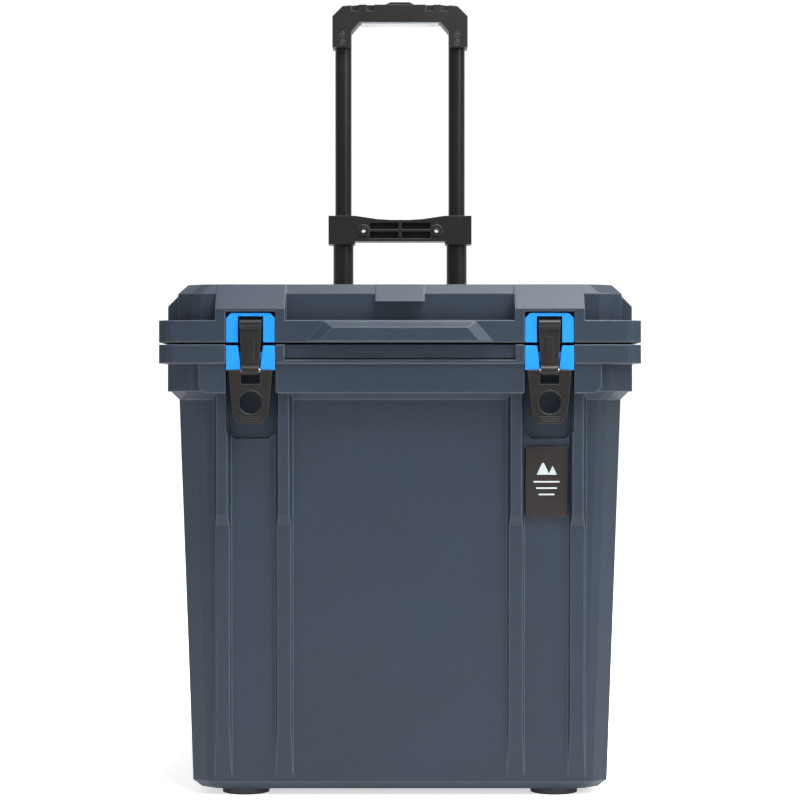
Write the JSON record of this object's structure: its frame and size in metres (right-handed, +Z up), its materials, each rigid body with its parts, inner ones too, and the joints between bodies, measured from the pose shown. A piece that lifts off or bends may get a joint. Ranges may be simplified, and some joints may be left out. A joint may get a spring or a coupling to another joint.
{
  "type": "wheeled cooler",
  "caption": "Hard insulated cooler with a hinged latched lid, wheels on a rear axle and a telescoping pull handle.",
  "frame": {"origin": "on the ground, at the middle of the width and of the overall depth", "axes": "+Z up, -Y towards the latches, +X to the right seen from the front"},
  "size_m": [0.484, 0.4794, 0.8742],
  "materials": {
    "body": "moulded grain",
    "foam": "rigid foam",
    "liner": "smooth",
    "badge": "satin",
    "seal": "soft",
    "blue": "satin",
    "dark": "moulded grain",
    "steel": "turned",
    "rubber": "matte",
    "tube": "black anodised",
    "tyre": "treaded",
    "grey": "smooth"
  },
  "bodies": {
    "box": {"body_shell": "body", "body_foam": "foam", "inner_liner": "liner", "badge": "badge", "axle": "steel", "lower_bracket": "dark", "upper_bracket": "dark", "hinge_pin_left": "steel", "latch_pivot_pin_left": "steel", "front_foot_left": "rubber", "foot_screw_left": "steel", "wheel_washer_left": "steel", "axle_sleeve_left": "dark", "outer_tube_left": "tube", "tube_bush_left": "dark", "lower_bracket_screw_left": "steel", "upper_bracket_screw_left": "steel", "hinge_pin_right": "steel", "latch_pivot_pin_right": "steel", "front_foot_right": "rubber", "foot_screw_right": "steel", "wheel_washer_right": "steel", "axle_sleeve_right": "dark", "outer_tube_right": "tube", "tube_bush_right": "dark", "lower_bracket_screw_right": "steel", "upper_bracket_screw_right": "steel"},
    "lid": {"lid_shell": "body", "lid_foam": "foam", "lid_liner": "liner", "lid_seal": "seal", "latch_keeper_left": "blue", "latch_keeper_right": "blue"},
    "lever_left": {"latch_cheeks_left": "blue", "latch_lever_left": "dark", "latch_link_pin_left": "steel"},
    "link_left": {"latch_link_left": "dark"},
    "wheel_left": {"tyre_left": "tyre", "wheel_hub_left": "dark", "wheel_cap_left": "dark"},
    "lever_right": {"latch_cheeks_right": "blue", "latch_lever_right": "dark", "latch_link_pin_right": "steel"},
    "link_right": {"latch_link_right": "dark"},
    "wheel_right": {"tyre_right": "tyre", "wheel_hub_right": "dark", "wheel_cap_right": "dark"},
    "handle_middle": {"middle_tube_left": "tube", "middle_tube_right": "tube", "crossbar": "dark"},
    "handle_grip": {"inner_tube_left": "tube", "inner_tube_right": "tube", "grip_front": "dark", "grip_rear": "dark", "grip_strip": "grey", "grip_screw_left_1": "steel", "grip_screw_left_2": "steel", "grip_screw_right_1": "steel", "grip_screw_right_2": "steel"},
    "button": {"button": "dark"}
  },
  "joints": [
    {"name": "lid_hinge", "type": "hinge", "parent": "box", "child": "lid", "pos_m": [0, 0.12825, 0.458], "axis": [-1, 0, 0], "range_deg": [0, 90]},
    {"name": "lever_left_hinge", "type": "hinge", "parent": "box", "child": "lever_left", "pos_m": [-0.1496, -0.22425, 0.445], "axis": [-1, 0, 0], "range_deg": [0, 100]},
    {"name": "link_left_hinge", "type": "hinge", "parent": "lever_left", "child": "link_left", "pos_m": [-0.1496, -0.23025, 0.431], "axis": [-1, 0, 0], "range_deg": [-116, 0]},
    {"name": "wheel_left_spin", "type": "hinge", "parent": "box", "child": "wheel_left", "pos_m": [-0.175, 0.17175, 0.068], "axis": [1, 0, 0], "continuous": true},
    {"name": "lever_right_hinge", "type": "hinge", "parent": "box", "child": "lever_right", "pos_m": [0.1496, -0.22425, 0.445], "axis": [-1, 0, 0], "range_deg": [0, 100]},
    {"name": "link_right_hinge", "type": "hinge", "parent": "lever_right", "child": "link_right", "pos_m": [0.1496, -0.23025, 0.431], "axis": [-1, 0, 0], "range_deg": [-116, 0]},
    {"name": "wheel_right_spin", "type": "hinge", "parent": "box", "child": "wheel_right", "pos_m": [0.175, 0.17175, 0.068], "axis": [1, 0, 0], "continuous": true},
    {"name": "handle_middle_slide", "type": "slide", "parent": "box", "child": "handle_middle", "axis": [0, 0, 1], "range_m": [-0.15, 0]},
    {"name": "handle_grip_slide", "type": "slide", "parent": "handle_middle", "child": "handle_grip", "axis": [0, 0, 1], "range_m": [-0.199, 0]},
    {"name": "button_press", "type": "slide", "parent": "handle_grip", "child": "button", "axis": [0, 0, -1], "range_m": [0, 0.0035], "stiffness_N_per_m": 800}
  ],
  "couplings": [
    {"joint": "link_left_hinge", "follows": "lever_left_hinge", "ratio": -1.15},
    {"joint": "link_right_hinge", "follows": "lever_right_hinge", "ratio": -1.15}
  ]
}
